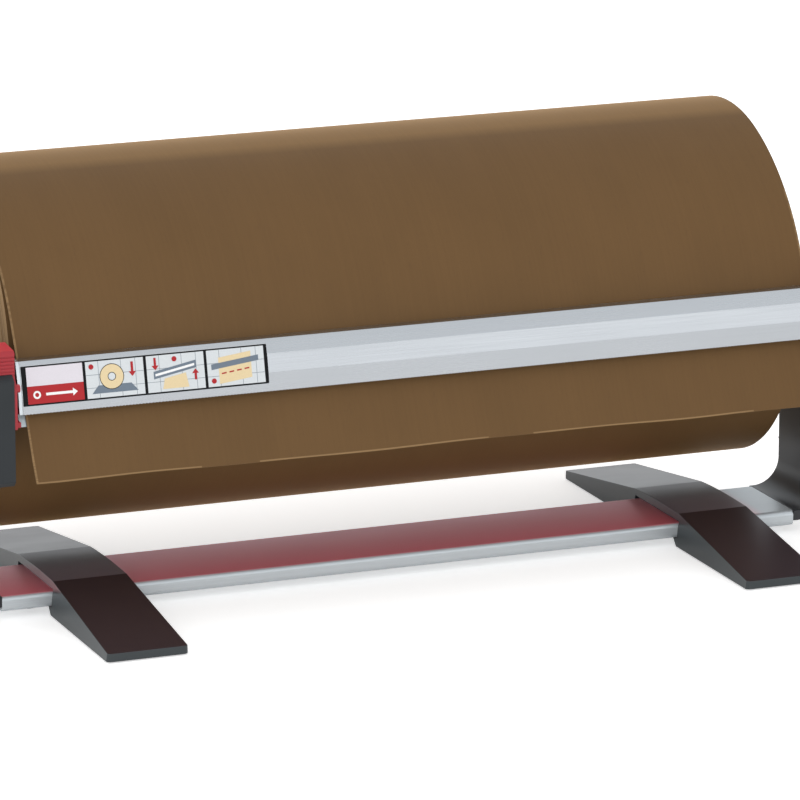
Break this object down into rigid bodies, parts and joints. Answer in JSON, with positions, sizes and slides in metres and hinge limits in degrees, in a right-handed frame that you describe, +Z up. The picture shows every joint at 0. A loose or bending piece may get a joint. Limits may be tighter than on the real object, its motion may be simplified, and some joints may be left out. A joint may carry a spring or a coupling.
{
  "type": "paper roll dispenser",
  "caption": "Table-top dispenser for gift wrap on a roll: flat base on two feet, J-shaped side frames, a toothed cutting rail and red push buttons that lift it",
  "frame": {"origin": "middle of the bounding box on the table plane, under the roll", "axes": "+X along the roll to the right, +Y to the back, +Z up"},
  "size_m": [0.569, 0.3109, 0.2542],
  "materials": {
    "anodised_aluminium": "fine brushed, clear anodised",
    "base_aluminium": "fine brushed with a faint burgundy tint on the top face",
    "dark_plastic": "injection moulded, satin",
    "grey_plastic": "injection moulded, fine grain",
    "red_plastic": "injection moulded, satin gloss",
    "black_plastic": "injection moulded",
    "rubber": "moulded, matt",
    "steel": "zinc plated",
    "blade_steel": "ground spring steel",
    "spring_steel": "drawn wire",
    "label_print": "printed film under clear laminate",
    "cardboard": "wound grey board",
    "kraft_paper": "kraft paper, wound",
    "kraft_sheet": "kraft paper, single sheet"
  },
  "bodies": {
    "stand": {"base_extrusion": "base_aluminium", "left_foot": "dark_plastic", "right_foot": "dark_plastic", "foot_pads": "rubber", "foot_screws": "steel", "left_upright": "grey_plastic", "right_upright": "grey_plastic", "upright_screws": "steel", "left_housing": "grey_plastic", "right_housing": "grey_plastic", "housing_screws": "steel", "back_profile": "anodised_aluminium", "back_profile_screws": "steel", "left_button_spring": "spring_steel", "right_button_spring": "spring_steel"},
    "rail": {"cutter_rail": "anodised_aluminium", "cutter_blade": "blade_steel", "label_strip": "label_print", "left_rail_cap": "anodised_aluminium", "right_rail_cap": "anodised_aluminium", "left_crank": "steel", "right_crank": "steel"},
    "left_press": {"left_button": "red_plastic"},
    "right_press": {"right_button": "red_plastic"},
    "carrier": {"left_axle_bush": "black_plastic", "right_axle_bush": "black_plastic", "paper_web": "kraft_sheet"},
    "roll": {"axle": "steel", "left_core_plug": "black_plastic", "right_core_plug": "black_plastic", "plug_screws": "black_plastic", "core_tube": "cardboard", "paper_roll": "kraft_paper"}
  },
  "joints": [
    {"name": "rail_swing", "type": "hinge", "parent": "stand", "child": "rail", "pos_m": [0, -0.0807, 0.1605], "axis": [-1, 0, 0], "range_deg": [0, 24]},
    {"name": "left_button_press", "type": "slide", "parent": "stand", "child": "left_press", "axis": [0, 0, -1], "range_m": [0, 0.0045], "stiffness_N_per_m": 250, "springref_m": -0.006, "deforming": ["left_button_spring"]},
    {"name": "right_button_press", "type": "slide", "parent": "stand", "child": "right_press", "axis": [0, 0, -1], "range_m": [0, 0.0045], "stiffness_N_per_m": 250, "springref_m": -0.006, "deforming": ["right_button_spring"]},
    {"name": "roll_lift", "type": "slide", "parent": "stand", "child": "carrier", "axis": [0, 0, 1], "range_m": [0, 0.12], "deforming": ["paper_web"]},
    {"name": "roll_spin", "type": "hinge", "parent": "carrier", "child": "roll", "pos_m": [0, 0.04525, 0.1441], "axis": [1, 0, 0], "continuous": true}
  ],
  "couplings": [
    {"joint": "left_button_press", "follows": "rail_swing", "m_per_rad": 0.010743},
    {"joint": "right_button_press", "follows": "rail_swing", "m_per_rad": 0.010743}
  ]
}
